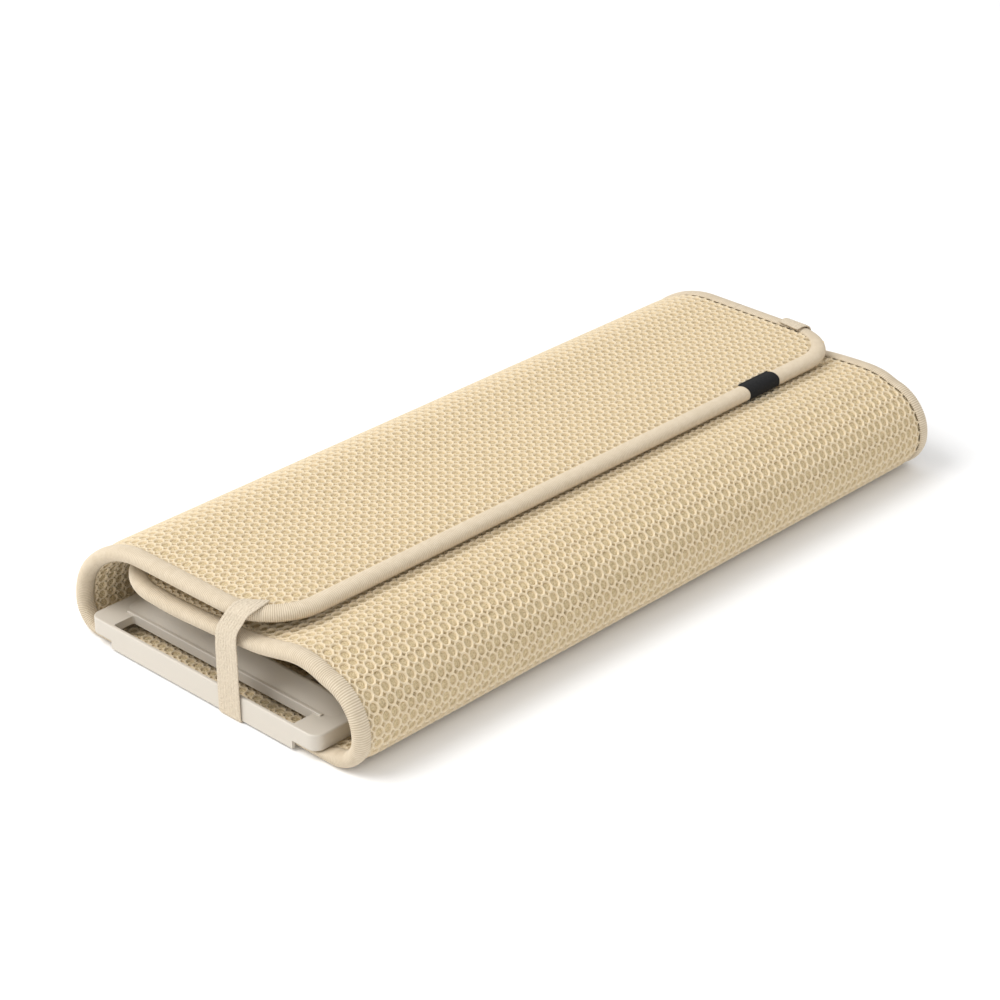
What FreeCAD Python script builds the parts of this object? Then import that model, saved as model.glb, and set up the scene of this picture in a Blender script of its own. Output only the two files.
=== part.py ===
import FreeCAD
import Part

import math
import os

# A folding drying mat with a moulded rack inside it, stored folded in three like a letter.
# The mat's length runs along X, its folds turn about lines parallel to X, and it lies on z = 0.
# "rear" is the +Y fold, which carries the upper flap; "front" is the -Y fold, with the lower flap.
# All sizes are in millimetres and all angles in degrees. Everything is drawn with the rack centred
# on y = 0, then moved along Y so that the origin is at the bottom centre of the whole thing.

# ---- driving dimensions of the mat ----
MAT_HALF_LENGTH = 232.5    # to the outside of the edge binding
PAD_THICKNESS = 8.0        # face mesh + core + face mesh, where nothing presses on it
BASE_THICKNESS = 4.0       # the same pad, pressed flat under the rack
MESH_SHARE = 0.34          # each face mesh's share of the pad's thickness
TAPE = 1.0                 # thickness of the folded binding tape
BINDING_DEPTH = 8.6        # how far the binding reaches in over the pad
CORNER_RADIUS = 36.0       # rounded corners of the mat, outside the binding
SEAM_GAP = 0.02            # keeps neighbouring solids apart

NEUTRAL_Z = PAD_THICKNESS / 2 + TAPE      # height of the pad's middle surface at the base
BASE_REAR = 88.0           # where the flat base ends and the rear fold begins
BASE_FRONT = 94.0          # the same on the front side, as a distance from y = 0

# Each fold is a chain of arcs, (radius, turn), starting flat and turning up and over.
REAR_FOLD = [(10.5, 60.0), (16.0, 30.0), (34.0, 45.0), (58.0, 45.0)]
FRONT_FOLD = [(20.0, 45.0), (17.0, 45.0), (24.0, 45.0), (24.0, 30.0)]

# Each flap goes on from its fold, as straight runs (0, length) and arcs (radius, turn).
UPPER_FLAP = [(0.0, 103.1)]
LOWER_FLAP = [(100.0, 21.0), (0.0, 42.0), (200.0, -6.0), (0.0, 67.9)]

# ---- rack ----
RACK_HALF_LENGTH = 235.2
RACK_HALF_WIDTH = 87.5
RACK_CORNER = 6.5
RACK_WALL = 2.2
RACK_FOOT_Z = 2 * TAPE + BASE_THICKNESS + 0.1     # underside of the side walls, just over the binding
RACK_DECK_Z = 15.0                            # top of the deck
DECK_THICKNESS = 2.4
RIM_DEPTH = 4.6                               # depth of the turned-down rim round each end slot
SLOT_HALF_WIDTH = 69.5
SLOT_FROM_END = 1.9                           # thin end wall left outside the slot
SLOT_LENGTH = 13.4
LIP_HALF_WIDTH = 70.0                         # the lip that hangs over the mat's edge
LIP_Z = 1.4
SLOT_WALL = 1.6                               # thickness of the rim's walls
SLOT_CORNER = 1.5
SLOT_BEAD = (2.2, 1.0)                        # width and height of the bead beside each slot
SLOT_BEAD_HALF_LENGTH = 74.5
EDGE_ROUND = 1.0                              # rounding of the deck's outer edge and the rails
BASIN_HALF_LENGTH = 206.5                     # to the ridge at each end of the plate basin
BASIN_HALF_WIDTH = 76.0
RIDGE_Z = 20.2
RIDGE_TOP = 1.8                               # width of the ridge's flat top
RIDGE_ROUND = 0.7
RIDGE_HALF_WIDTH = 55.0                       # where the ridge starts to fall to the deck at its ends
RIDGE_FALL = 66.0                             # radius of its fall
RAMP_HALF_WIDTH = 81.0
RAMP_FOOT = RACK_HALF_LENGTH - SLOT_FROM_END - SLOT_LENGTH - SLOT_WALL
RAMP_SINK = 0.3                               # how far the ramp's foot starts inside the deck
FIN_COUNT = 12
FIN_PITCH = 33.0
FIN_BASE = 5.0
FIN_TIP = 2.6
FIN_TOP_Z = 38.0
FIN_DIP_Z = 19.0                              # lowest point of the saddle in each fin's top
FIN_DIP_HALF_WIDTH = 50.0
STRINGER_Y = (-38.0, 38.0)
STRINGER_WIDTH = 4.0
STRINGER_Z = 11.0
RAIL_WIDTH = 2.6                              # inner walls along the basin
RAIL_Z = 17.2
FIN_SHOULDER = 8.0                            # width of a fin's sloping shoulder
FIN_SHOULDER_DROP = 1.0                       # from a rail's top to where the shoulder starts
BASIN_MARGIN = 0.5                            # how far the basin's walls run into the deck
OVERSHOOT = 5.0                               # how far a cutting tool passes the surface it cuts

# ---- elastic straps and label ----
STRAP_WIDTH = 16.5
STRAP_THICKNESS = 1.2
LEFT_STRAP_Y = -24.7
RIGHT_STRAP_Y = -16.0
STRAP_HINGE_X = 232.7
STRAP_ROOT = 10.0          # length sewn down on the upper flap's binding
STRAP_BEND = 1.6           # radius of its middle surface, over the binding's edge
BARTACK = (1.4, 0.5)       # width and height of the bar of stitches across the strap's root
BARTACK_INSET = (1.2, 1.0)  # from the strap's end and from each of its sides
STRAP_STEEP = 75.0         # slope of the band from the bend to the lip
STRAP_EASE = 20.0          # radius where it turns upright
STRAP_CLEARANCE = 0.2      # from the lip's face
STRAP_HOOK = 0.8           # radius of the hooked end under the lip
LABEL_X = (137.0, 169.0)
LABEL_THICKNESS = 0.6

PARTS = "parts"
NODES = {}
HINGES = {}


# ---- paths in a plane: (u, z) points with a heading, made of arcs and straight runs ----
class Path:
    """A chain of straight runs and tangent arcs. A positive turn bends to the left."""

    def __init__(self, u, z, heading):
        self.u, self.z, self.heading = u, z, heading
        self.steps = []

    def add(self, radius, value):
        """Adds a straight run of length value if radius is 0, else an arc that turns by value."""
        start = (self.u, self.z, self.heading)
        if radius == 0:
            a = math.radians(self.heading)
            self.u += value * math.cos(a)
            self.z += value * math.sin(a)
        else:
            side = 1 if value > 0 else -1
            a, b = math.radians(self.heading), math.radians(self.heading + value)
            self.u += side * radius * (math.sin(b) - math.sin(a))
            self.z += side * radius * (math.cos(a) - math.cos(b))
            self.heading += value
        self.steps.append((start, radius, value))
        return self

    @staticmethod
    def offset(point, distance):
        """The point moved to the left of its own heading."""
        u, z, heading = point
        a = math.radians(heading)
        return u - distance * math.sin(a), z + distance * math.cos(a)

    def band(self, low, high, place):
        """A face between two offsets of the path. place turns (u, z) into a 3-D vector."""
        edges = []
        ends = []
        for distance in (low, high):
            for (u, z, heading), radius, value in self.steps:
                if radius == 0:
                    turn, mid, end = 0.0, None, Path(u, z, heading).add(0, value)
                else:
                    turn = value
                    mid = Path(u, z, heading).add(radius, value / 2)
                    end = Path(u, z, heading).add(radius, value)
                a = place(*self.offset((u, z, heading), distance))
                b = place(*self.offset((end.u, end.z, heading + turn), distance))
                if mid is None:
                    edges.append(Part.LineSegment(a, b).toShape())
                else:
                    c = place(*self.offset((mid.u, mid.z, heading + turn / 2), distance))
                    edges.append(Part.Arc(a, c, b).toShape())
                ends += [a, b]
        half = len(ends) // 2
        edges.append(Part.LineSegment(ends[0], ends[half]).toShape())
        edges.append(Part.LineSegment(ends[half - 1], ends[-1]).toShape())
        return Part.Face(Part.Wire(Part.sortEdges(edges)[0]))


def yz(side):
    """Places (u, z) in the plane x = 0, with u measured outwards on the rear or front side."""
    return lambda u, z: FreeCAD.Vector(0, side * u, z)


def box(low, high):
    """A box between two corners."""
    size = [b - a for a, b in zip(low, high)]
    return Part.makeBox(*size, FreeCAD.Vector(*low))


def along_x(face, low, high):
    """The face, drawn at x = 0, swept from x = low to x = high."""
    solid = face.extrude(FreeCAD.Vector(high - low, 0, 0))
    solid.translate(FreeCAD.Vector(low, 0, 0))
    return solid


def rounded_plan(half_x, low_y, high_y, radius, low_z, high_z, corners):
    """An upright prism on a rectangle whose edges at the corners (sx, y) are rounded."""
    prism = box((-half_x, low_y, low_z), (half_x, high_y, high_z))
    found = []
    for edge in prism.Edges:
        a, b = edge.Vertexes[0].Point, edge.Vertexes[-1].Point
        if abs(a.x - b.x) < 1e-6 and abs(a.y - b.y) < 1e-6:
            if any(abs(a.y - y) < 1e-6 and a.x * sx > 0 for sx, y in corners):
                found.append(edge)
    return prism.makeFillet(radius, found)


def keep(name, shape):
    """Keeps one node's solids for writing."""
    solids = shape.Solids
    if not solids or not all(s.isValid() and s.isClosed() for s in solids):
        raise RuntimeError(name + " isn't made of closed valid solids")
    NODES[name] = solids[0] if len(solids) == 1 else Part.makeCompound(solids)


def keep_hinge(name, x, y, z):
    """Keeps the place of one hinge's axis, to be printed."""
    HINGES[name] = (x, y, z)


def write_all():
    """Moves everything so that the origin is at the bottom centre, and writes each node."""
    whole = Part.makeCompound(list(NODES.values())).BoundBox
    shift = -(whole.YMin + whole.YMax) / 2
    for name, shape in NODES.items():
        shape.translate(FreeCAD.Vector(0, shift, 0))
        shape.exportStep(os.path.join(PARTS, name + ".step"))
        print("node %-28s %2d solid(s) %10.1f mm3" % (name, len(shape.Solids), shape.Volume))
    for name, (x, y, z) in HINGES.items():
        print("hinge %-14s x %9.3f y %9.3f z %9.3f" % (name, x, y + shift, z))
    print("moved along Y by %.3f" % shift)


# ---- the mat's layers ----
def layers(thickness, middle=0.0):
    """Offsets (low, high) of the outer mesh, core and inner mesh about the middle surface."""
    low = middle - thickness / 2
    mesh = thickness * MESH_SHARE
    high = low + thickness
    return {
        "outer_mesh": (low, low + mesh - SEAM_GAP),
        "core": (low + mesh, high - mesh),
        "inner_mesh": (high - mesh + SEAM_GAP, high),
    }


def binding_strips(path, side, thickness, middle=0.0):
    """The C-shaped tape along the two short edges, for a panel with no rounded corners."""
    edge, seam = MAT_HALF_LENGTH, MAT_HALF_LENGTH - BINDING_DEPTH
    half = thickness / 2
    wide = path.band(middle - half - TAPE, middle + half + TAPE, yz(side))
    pad = path.band(middle - half - SEAM_GAP, middle + half + SEAM_GAP, yz(side))
    strips = []
    for low, high in ((-edge, -seam), (seam, edge)):
        outer = along_x(wide, low, high)
        inner_edge = MAT_HALF_LENGTH - TAPE + SEAM_GAP
        strips.append(outer.cut(along_x(pad, -inner_edge, inner_edge)))
    return Part.makeCompound([s for strip in strips for s in strip.Solids])


def panel(name, path, side, thickness=PAD_THICKNESS, middle=0.0):
    """The layers and edge strips of a panel without corners: the base, or one part of a fold."""
    half = MAT_HALF_LENGTH - TAPE
    for layer, (low, high) in layers(thickness, middle).items():
        keep(name + "_" + layer, along_x(path.band(low, high, yz(side)), -half, half))
    keep(name + "_binding", binding_strips(path, side, thickness, middle))


def trimmed(path):
    """The path with a hair taken off each end, so that neighbours in a chain stay apart."""
    (u, z, heading), radius, value = path.steps[0]
    hair = SEAM_GAP if radius == 0 else math.degrees(SEAM_GAP / radius)
    start = Path(u, z, heading).add(radius, hair)
    return Path(start.u, start.z, start.heading).add(radius, value - 2 * hair)


def fold(name, steps, start, side):
    """The parts of one fold. Returns the point and heading where its flap begins.

    Each hinge is at the mat's outer surface, so unfolding only opens gaps on the inside.
    """
    at = Path(start, NEUTRAL_Z, 0.0)
    outside = -(PAD_THICKNESS / 2 + TAPE)
    for i in range(len(steps) + 1):
        u, z = Path.offset((at.u, at.z, at.heading), outside)
        keep_hinge("%s_%d" % (name, i + 1), 0.0, side * u, z)
        if i < len(steps):
            arc = Path(at.u, at.z, at.heading).add(*steps[i])
            panel("%s_fold_%d" % (name, i + 1), trimmed(arc), side)
            at = arc
    return at


def flap_path(at, steps):
    """The flap's middle line, starting a hair beyond the fold."""
    first = Path(at.u, at.z, at.heading).add(0, SEAM_GAP)
    path = Path(first.u, first.z, first.heading)
    for radius, value in steps:
        path.add(radius, value)
    return path


def flap(name, path, side):
    """A flap with rounded corners at its free edge, and the tape that runs round it."""
    half = PAD_THICKNESS / 2
    root = side * path.steps[0][0][0]
    free = side * path.u
    reach = 2 * MAT_HALF_LENGTH

    def plan(inset):
        edge = MAT_HALF_LENGTH - inset
        tip = free + side * inset
        far = root + side * reach
        low, high = min(tip, far), max(tip, far)
        corners = [(-1, tip), (1, tip)]
        return rounded_plan(edge, low, high, CORNER_RADIUS - inset, -reach, reach, corners)

    def slab(low, high, inset):
        return along_x(path.band(low, high, yz(side)), -reach, reach).common(plan(inset))

    for layer, (low, high) in layers(PAD_THICKNESS).items():
        keep(name + "_" + layer, slab(low, high, TAPE))
    tape = slab(-half - TAPE, half + TAPE, 0.0)
    tape = tape.cut(slab(-half - SEAM_GAP, half + SEAM_GAP, TAPE - SEAM_GAP))
    keep(name + "_binding", tape.cut(plan(BINDING_DEPTH)))


def mat():
    """The whole mat: base, two folds and two flaps. Returns the upper flap's middle height."""
    length = BASE_REAR + BASE_FRONT - 2 * SEAM_GAP
    base = Path(-BASE_FRONT + SEAM_GAP, NEUTRAL_Z, 0.0).add(0, length)
    middle = TAPE + BASE_THICKNESS / 2 - NEUTRAL_Z
    panel("base", base, 1, BASE_THICKNESS, middle)
    rear = fold("rear", REAR_FOLD, BASE_REAR, 1)
    front = fold("front", FRONT_FOLD, BASE_FRONT, -1)
    upper = flap_path(rear, UPPER_FLAP)
    lower = flap_path(front, LOWER_FLAP)
    flap("upper_flap", upper, 1)
    flap("lower_flap", lower, -1)
    return upper


# ---- the rack ----
def rack_shell():
    """The deck with its outer walls, open underneath."""
    corners = [(sx, sy * RACK_HALF_WIDTH) for sx in (-1, 1) for sy in (-1, 1)]
    outer = rounded_plan(RACK_HALF_LENGTH, -RACK_HALF_WIDTH, RACK_HALF_WIDTH, RACK_CORNER,
                         RACK_FOOT_Z, RACK_DECK_Z, corners)
    top = [e for e in outer.Edges if min(v.Z for v in e.Vertexes) > RACK_DECK_Z - 1e-6]
    outer = outer.makeFillet(EDGE_ROUND, top)
    w = RACK_WALL
    inner_corners = [(sx, sy * (RACK_HALF_WIDTH - w)) for sx in (-1, 1) for sy in (-1, 1)]
    hollow = rounded_plan(RACK_HALF_LENGTH - w, -RACK_HALF_WIDTH + w, RACK_HALF_WIDTH - w,
                          RACK_CORNER - w, RACK_FOOT_Z - OVERSHOOT, RACK_DECK_Z - DECK_THICKNESS,
                          inner_corners)
    return outer.cut(hollow)


def end_lip(side):
    """The lip that hangs down in front of the mat's edge at one end of the rack."""
    outer = side * RACK_HALF_LENGTH
    inner = side * (RACK_HALF_LENGTH - RACK_WALL)
    low, high = min(outer, inner), max(outer, inner)
    return box((low, -LIP_HALF_WIDTH, LIP_Z), (high, LIP_HALF_WIDTH, RACK_DECK_Z - DECK_THICKNESS))


def slot_span(side):
    """The x range of one end slot."""
    a = side * (RACK_HALF_LENGTH - SLOT_FROM_END)
    b = side * (RACK_HALF_LENGTH - SLOT_FROM_END - SLOT_LENGTH)
    return min(a, b), max(a, b)


def slot_rim(side):
    """The turned-down rim round an end slot."""
    low, high = slot_span(side)
    low, high = (low, high + SLOT_WALL) if side < 0 else (low - SLOT_WALL, high)
    reach = SLOT_HALF_WIDTH + SLOT_WALL
    return box((low, -reach, RACK_DECK_Z - RIM_DEPTH), (high, reach, RACK_DECK_Z - DECK_THICKNESS / 2))


def slot_bead(side):
    """The low bead on the deck along the inner side of an end slot."""
    width, height = SLOT_BEAD
    edge = RACK_HALF_LENGTH - SLOT_FROM_END - SLOT_LENGTH
    a, b = side * edge, side * (edge - width)
    top = RACK_DECK_Z + height
    bead = box((min(a, b), -SLOT_BEAD_HALF_LENGTH, RACK_DECK_Z - DECK_THICKNESS / 2),
               (max(a, b), SLOT_BEAD_HALF_LENGTH, top))
    return bead.makeFillet(height / 2, [e for e in bead.Edges if min(v.Z for v in e.Vertexes) > top - 1e-6])


def slot_hole(side):
    """What is cut away for an end slot, with rounded corners."""
    low, high = slot_span(side)
    hole = box((low, -SLOT_HALF_WIDTH, RACK_FOOT_Z - OVERSHOOT),
               (high, SLOT_HALF_WIDTH, RACK_DECK_Z + OVERSHOOT))
    upright = [e for e in hole.Edges
               if abs(e.Vertexes[0].X - e.Vertexes[-1].X) < 1e-6
               and abs(e.Vertexes[0].Y - e.Vertexes[-1].Y) < 1e-6]
    return hole.makeFillet(SLOT_CORNER, upright)


def ramp_section(x, top_z, fall):
    """A closed section of the ramp at x, whose top falls by an arc at its ends, or is level."""
    bottom = RACK_DECK_Z - DECK_THICKNESS
    points = []
    for side in (-1, 1):
        points.append((side * RAMP_HALF_WIDTH, top_z - fall(RAMP_HALF_WIDTH)))
        points.append((side * (RAMP_HALF_WIDTH + RIDGE_HALF_WIDTH) / 2,
                       top_z - fall((RAMP_HALF_WIDTH + RIDGE_HALF_WIDTH) / 2)))
        points.append((side * RIDGE_HALF_WIDTH, top_z))
    left_end, left_mid, left_top, right_end, right_mid, right_top = (
        FreeCAD.Vector(x, y, z) for y, z in points)
    left_foot = FreeCAD.Vector(x, -RAMP_HALF_WIDTH, bottom)
    right_foot = FreeCAD.Vector(x, RAMP_HALF_WIDTH, bottom)
    edges = [Part.LineSegment(left_foot, left_end)]
    if fall(RAMP_HALF_WIDTH) > 0:
        edges.append(Part.Arc(left_end, left_mid, left_top))
    else:
        edges.append(Part.LineSegment(left_end, left_top))
    edges.append(Part.LineSegment(left_top, right_top))
    if fall(RAMP_HALF_WIDTH) > 0:
        edges.append(Part.Arc(right_top, right_mid, right_end))
    else:
        edges.append(Part.LineSegment(right_top, right_end))
    edges.append(Part.LineSegment(right_end, right_foot))
    edges.append(Part.LineSegment(right_foot, left_foot))
    return Part.Wire([e.toShape() for e in edges])


def ridge_fall(y):
    """How far the ridge's crest has fallen at y."""
    beyond = max(0.0, y - RIDGE_HALF_WIDTH)
    return RIDGE_FALL - math.sqrt(RIDGE_FALL ** 2 - beyond ** 2)


def end_ramp(side):
    """The sloping wall that climbs to the ridge at one end of the basin, and falls at its ends."""
    inner = BASIN_HALF_LENGTH - RIDGE_TOP
    foot = ramp_section(side * RAMP_FOOT, RACK_DECK_Z - RAMP_SINK, lambda y: 0.0)
    crest = ramp_section(side * BASIN_HALF_LENGTH, RIDGE_Z, ridge_fall)
    slope = Part.makeLoft([foot, crest], True, True)
    top = Part.Face(crest).extrude(FreeCAD.Vector(-side * RIDGE_TOP, 0, 0))
    low, high = sorted((side * inner, side * BASIN_HALF_LENGTH))
    wall = box((low, -BASIN_HALF_WIDTH, RACK_FOOT_Z), (high, BASIN_HALF_WIDTH, RACK_DECK_Z))
    ramp = slope.fuse([top, wall]).removeSplitter()
    edges = [e for e in ramp.Edges if min(v.Z for v in e.Vertexes) > RIDGE_Z - 1e-6
             and e.Length > BASIN_HALF_WIDTH]
    return ramp.makeFillet(RIDGE_ROUND, edges)


def side_rail(side):
    """The upright inner wall along one long side of the basin, joined to the deck."""
    a = side * BASIN_HALF_WIDTH
    b = side * (BASIN_HALF_WIDTH - RAIL_WIDTH)
    rail = box((-BASIN_HALF_LENGTH, min(a, b), RACK_FOOT_Z), (BASIN_HALF_LENGTH, max(a, b), RAIL_Z))
    crest = [e for e in rail.Edges if min(v.Z for v in e.Vertexes) > RAIL_Z - 1e-6
             and e.Length > BASIN_HALF_WIDTH]
    return rail.makeFillet(EDGE_ROUND, crest)


def fin_outline(x):
    """A fin seen from the end: sloping shoulders and a round saddle that plates stand in."""
    half = BASIN_HALF_WIDTH - RAIL_WIDTH / 2
    shoulder = half - FIN_SHOULDER
    start = RAIL_Z - FIN_SHOULDER_DROP

    def point(y, z):
        return FreeCAD.Vector(x, y, z)

    foot = RACK_FOOT_Z
    edges = [
        Part.LineSegment(point(-half, foot), point(-half, start)),
        Part.LineSegment(point(-half, start), point(-shoulder, FIN_TOP_Z)),
        Part.LineSegment(point(-shoulder, FIN_TOP_Z), point(-FIN_DIP_HALF_WIDTH, FIN_TOP_Z)),
        Part.Arc(point(-FIN_DIP_HALF_WIDTH, FIN_TOP_Z), point(0, FIN_DIP_Z),
                 point(FIN_DIP_HALF_WIDTH, FIN_TOP_Z)),
        Part.LineSegment(point(FIN_DIP_HALF_WIDTH, FIN_TOP_Z), point(shoulder, FIN_TOP_Z)),
        Part.LineSegment(point(shoulder, FIN_TOP_Z), point(half, start)),
        Part.LineSegment(point(half, start), point(half, foot)),
        Part.LineSegment(point(half, foot), point(-half, foot)),
    ]
    return Part.Face(Part.Wire([e.toShape() for e in edges]))


def fin(x):
    """One fin: the outline made solid, tapering from its foot to its tip."""
    plate = fin_outline(x - FIN_BASE / 2).extrude(FreeCAD.Vector(FIN_BASE, 0, 0))
    reach = BASIN_HALF_WIDTH

    def point(dx, z):
        return FreeCAD.Vector(x + dx, -reach, z)

    taper = [point(-FIN_BASE / 2, RACK_FOOT_Z - 1), point(FIN_BASE / 2, RACK_FOOT_Z - 1),
             point(FIN_TIP / 2, FIN_TOP_Z), point(-FIN_TIP / 2, FIN_TOP_Z)]
    wedge = Part.Face(Part.makePolygon(taper + taper[:1])).extrude(FreeCAD.Vector(0, 2 * reach, 0))
    return plate.common(wedge)


def rack():
    """The moulded rack, one piece of plastic."""
    body = rack_shell()
    half_x, half_y = BASIN_HALF_LENGTH - BASIN_MARGIN, BASIN_HALF_WIDTH - BASIN_MARGIN
    basin = box((-half_x, -half_y, RACK_FOOT_Z - OVERSHOOT), (half_x, half_y, RACK_DECK_Z + OVERSHOOT))
    body = body.cut(basin)
    for side in (-1, 1):
        body = body.fuse([end_lip(side), slot_rim(side), side_rail(side)])
        body = body.cut(slot_hole(side)).fuse([end_ramp(side), slot_bead(side)])
    half = (FIN_COUNT - 1) / 2
    ribs = [fin((i - half) * FIN_PITCH) for i in range(FIN_COUNT)]
    for y in STRINGER_Y:
        ribs.append(box((-BASIN_HALF_LENGTH, y - STRINGER_WIDTH / 2, RACK_FOOT_Z),
                        (BASIN_HALF_LENGTH, y + STRINGER_WIDTH / 2, STRINGER_Z)))
    body = body.fuse(ribs).removeSplitter()
    keep("rack", body)


# ---- straps and label ----
def strap_place(side):
    """Places (u, z) in the plane y = 0, with u measured outwards along one end."""
    return lambda u, z: FreeCAD.Vector(side * u, 0, z)


def across(face, middle_y, width):
    """A face in the plane y = 0 made solid, width wide about y = middle_y."""
    solid = face.extrude(FreeCAD.Vector(0, width, 0))
    solid.translate(FreeCAD.Vector(0, middle_y - width / 2, 0))
    return solid


def strap(name, side, middle_y, top):
    """One elastic strap: its sewn root, the bar of stitches, and the free band under the lip."""
    place = strap_place(side)
    half = STRAP_THICKNESS / 2
    z = top + SEAM_GAP + half
    root = Path(STRAP_HINGE_X - STRAP_ROOT, z, 0.0).add(0, STRAP_ROOT - SEAM_GAP)
    keep(name + "_strap_root", across(root.band(-half, half, place), middle_y, STRAP_WIDTH))
    width, height = BARTACK
    from_end, from_side = BARTACK_INSET
    sewn = Path(STRAP_HINGE_X - STRAP_ROOT + from_end, z + half + SEAM_GAP + height / 2, 0.0)
    sewn.add(0, width)
    keep(name + "_strap_bartack",
           across(sewn.band(-height / 2, height / 2, place), middle_y, STRAP_WIDTH - 2 * from_side))

    lip_face = RACK_HALF_LENGTH + STRAP_CLEARANCE + half      # middle of the band where it hangs
    easing = STRAP_EASE * (1 - math.sin(math.radians(STRAP_STEEP)))
    band = Path(STRAP_HINGE_X, z, 0.0).add(STRAP_BEND, -STRAP_STEEP)
    run = (lip_face - easing - band.u) / math.cos(math.radians(STRAP_STEEP))
    band.add(0, run).add(STRAP_EASE, -(90.0 - STRAP_STEEP))
    band.add(0, band.z - half - STRAP_HOOK).add(STRAP_HOOK, -90.0)
    band.add(0, lip_face - STRAP_HOOK - (RACK_HALF_LENGTH - RACK_WALL))
    keep(name + "_strap_band", across(band.band(-half, half, place), middle_y, STRAP_WIDTH))
    keep_hinge(name + "_strap", side * STRAP_HINGE_X, middle_y, z + half)


def label(upper):
    """The woven label, a sleeve folded over the binding of the upper flap's free edge."""
    half = PAD_THICKNESS / 2 + TAPE + SEAM_GAP
    skin = LABEL_THICKNESS
    low_x, high_x = LABEL_X
    tip = upper.u
    z = upper.z
    outer = box((low_x, tip - skin - SEAM_GAP, z - half - skin),
                (high_x, tip + BINDING_DEPTH, z + half + skin))
    inner = box((low_x - 1, tip - SEAM_GAP, z - half), (high_x + 1, tip + 2 * BINDING_DEPTH, z + half))
    keep("label", outer.cut(inner))


def main():
    os.makedirs(PARTS, exist_ok=True)
    upper = mat()
    rack()
    top = upper.z + PAD_THICKNESS / 2 + TAPE
    strap("left", -1, LEFT_STRAP_Y, top)
    strap("right", 1, RIGHT_STRAP_Y, top)
    label(upper)
    write_all()


main()
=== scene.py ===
import math

import bpy
import numpy as np
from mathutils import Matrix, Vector


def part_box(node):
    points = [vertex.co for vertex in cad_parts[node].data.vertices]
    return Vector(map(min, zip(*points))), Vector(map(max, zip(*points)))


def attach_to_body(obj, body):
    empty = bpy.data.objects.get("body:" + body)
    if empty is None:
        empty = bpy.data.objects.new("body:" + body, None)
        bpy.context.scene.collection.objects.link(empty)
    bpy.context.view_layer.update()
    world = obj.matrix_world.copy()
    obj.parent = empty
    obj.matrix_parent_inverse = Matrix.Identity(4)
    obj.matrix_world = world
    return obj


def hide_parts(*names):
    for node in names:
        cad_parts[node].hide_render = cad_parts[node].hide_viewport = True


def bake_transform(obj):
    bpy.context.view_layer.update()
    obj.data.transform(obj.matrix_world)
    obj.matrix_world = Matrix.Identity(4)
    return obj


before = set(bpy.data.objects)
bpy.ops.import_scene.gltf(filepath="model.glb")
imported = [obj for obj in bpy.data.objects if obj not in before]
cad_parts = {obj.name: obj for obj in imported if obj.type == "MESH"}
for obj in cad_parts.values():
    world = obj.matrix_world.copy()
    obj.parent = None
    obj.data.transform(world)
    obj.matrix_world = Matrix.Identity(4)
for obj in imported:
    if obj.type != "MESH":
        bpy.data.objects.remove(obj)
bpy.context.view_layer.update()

# A folding drying mat of honeycomb spacer mesh, folded in three round a moulded rack.
# The mat is described by a developed length s, measured across the folds from the rack's centre
# line, by x along the folds, and by n, the distance outwards from the middle of its thickness.
# Sizes here are in millimetres, and a mesh is scaled to metres when it is made.
MM = 0.001

# ---- the mat's middle line: (radius, turn in degrees) arcs, and (0, length) straight runs ----
REAR_LINE = [(0, 88.0), (10.5, 60), (16.0, 30), (34.0, 45), (58.0, 45), (0, 103.1)]
FRONT_LINE = [(0, 94.0), (20.0, 45), (17.0, 45), (24.0, 45), (24.0, 30),
              (100.0, 21), (0, 42.0), (200.0, -6), (0, 73.4)]
LINE_Z = 5.0               # height of the middle line at the base
LINE_TOP = 59.4            # height of the middle line at the upper flap
LINE_STEP = 0.25           # spacing at which the middle line is worked out
FOLD_PARTS = 4             # arcs in a fold, each named as a body in the spans
RACK_Y = sum(corner[1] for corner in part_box("rack")) / MM / 2    # where the rack's centre line is

EDGE_X = 232.5             # outside of the binding at the two ends
CORNER = 36.0              # rounded corners of the flaps
HALF_PAD = 4.0             # from the middle line to the face of the mesh
BASE_INNER_SHARE = 0.2     # what the rack's weight leaves of the pad's inner half
BASE_SQUASH = (85.0, 97.0)  # where the pad swells again beyond the rack's edge
EDGE_SHARE = 0.78          # how far the binding presses the faces together
EDGE_SQUASH = (7.0, 20.0)  # where the pad swells again inside the binding

# How far the soft mat lies from its middle line: its rise at the base and at the top, the shift to
# the rear of its front and rear folds, and where along the mat each shift comes in.
SETTLE = (-0.75, 0.4)
FRONT_SHIFT, REAR_SHIFT = 1.0, 0.5
FRONT_SHIFT_OVER = (96.0, 115.0)
REAR_SHIFT_OVER = (90.0, 105.0)
# Heights of the lower flap's middle, as (y from the rack's centre, z), along most of the mat and
# where it sags at the end beside the left strap.
FLAP_LINE = [(-93, 47.0), (-85, 50.3), (-75, 51.6), (-62, 51.3), (-48, 50.5), (-34, 49.0),
             (-18, 46.8), (0, 45.2), (25, 44.3), (80, 44.2)]
FLAP_SAG = [(-93, 47.0), (-85, 50.0), (-75, 51.7), (-66, 51.0), (-53, 47.9), (-42, 45.6),
            (-28, 44.4), (-10, 43.1), (6, 42.2), (17, 41.7), (28, 41.6), (40, 42.2), (60, 43.5),
            (80, 44.4)]
FLAP_OVER = (148.0, 168.0)  # where along the mat these heights come in
SAG_FROM = 150.0           # where along x the sag comes in
CURVE_STEP = 0.5           # spacing at which a table of heights is worked out
CURVE_SOFTENING = 15       # how many such steps each way a height is averaged over
SLOPE_STEP = 0.5           # how far each side of a point its slope is measured

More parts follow.
